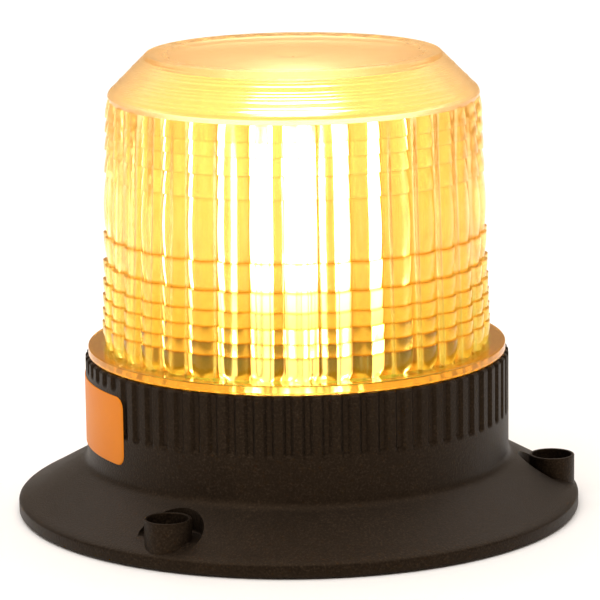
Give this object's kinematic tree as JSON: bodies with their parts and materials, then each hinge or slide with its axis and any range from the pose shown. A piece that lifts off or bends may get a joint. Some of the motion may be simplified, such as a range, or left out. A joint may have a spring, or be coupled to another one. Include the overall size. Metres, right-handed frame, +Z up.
{
  "type": "warning beacon light",
  "caption": "Round amber warning beacon: fluted twist-off lens over a lamp tower, on a black flanged base with open screw cups for fixing to a barricade or roof.",
  "frame": {"origin": "centre of the underside of the flange", "axes": "+Z up along the lens axis; -Y is the side the picture shows, with a screw cup at its left"},
  "size_m": [0.165, 0.165, 0.134],
  "materials": {
    "black_plastic": "fine spark-eroded grain",
    "rubber": "matte",
    "amber_lens": "clear moulded polycarbonate",
    "green_board": "solder mask",
    "white_board": "white solder mask",
    "lamp": "phosphor",
    "aluminium": "extruded",
    "steel": "zinc plated",
    "capacitor_sleeve": "shrink sleeve",
    "ferrite": "ferrite and lacquered wire",
    "chip_black": "moulded",
    "terminal_green": "moulded",
    "white_plastic": "moulded"
  },
  "bodies": {
    "base": {"base_flange": "black_plastic", "base_collar": "black_plastic", "deck_plate": "black_plastic", "base_gasket": "rubber", "cable_grommet": "rubber", "vent_plug": "white_plastic", "driver_board": "green_board", "board_screw_1": "steel", "board_screw_2": "steel", "board_screw_3": "steel", "tower_screw_1": "steel", "tower_screw_2": "steel", "heat_sink": "aluminium", "tower_cap": "white_plastic", "capacitor_1": "capacitor_sleeve", "capacitor_2": "capacitor_sleeve", "inductor": "ferrite", "driver_chip": "chip_black", "terminal_block": "terminal_green", "lens_seal": "rubber", "led_board_1": "white_board", "led_board_2": "white_board", "led_board_3": "white_board", "led_board_4": "white_board", "led_board_5": "white_board", "led_board_6": "white_board", "led_1_1": "lamp", "led_1_2": "lamp", "led_1_3": "lamp", "led_2_1": "lamp", "led_2_2": "lamp", "led_2_3": "lamp", "led_3_1": "lamp", "led_3_2": "lamp", "led_3_3": "lamp", "led_4_1": "lamp", "led_4_2": "lamp", "led_4_3": "lamp", "led_5_1": "lamp", "led_5_2": "lamp", "led_5_3": "lamp", "led_6_1": "lamp", "led_6_2": "lamp", "led_6_3": "lamp"},
    "lens": {"amber_lens": "amber_lens"}
  },
  "joints": [
    {"name": "lens_twist", "type": "hinge", "parent": "base", "child": "lens", "pos_m": [0, 0, 0.046], "axis": [0, 0, 1], "range_deg": [0, 25]}
  ]
}
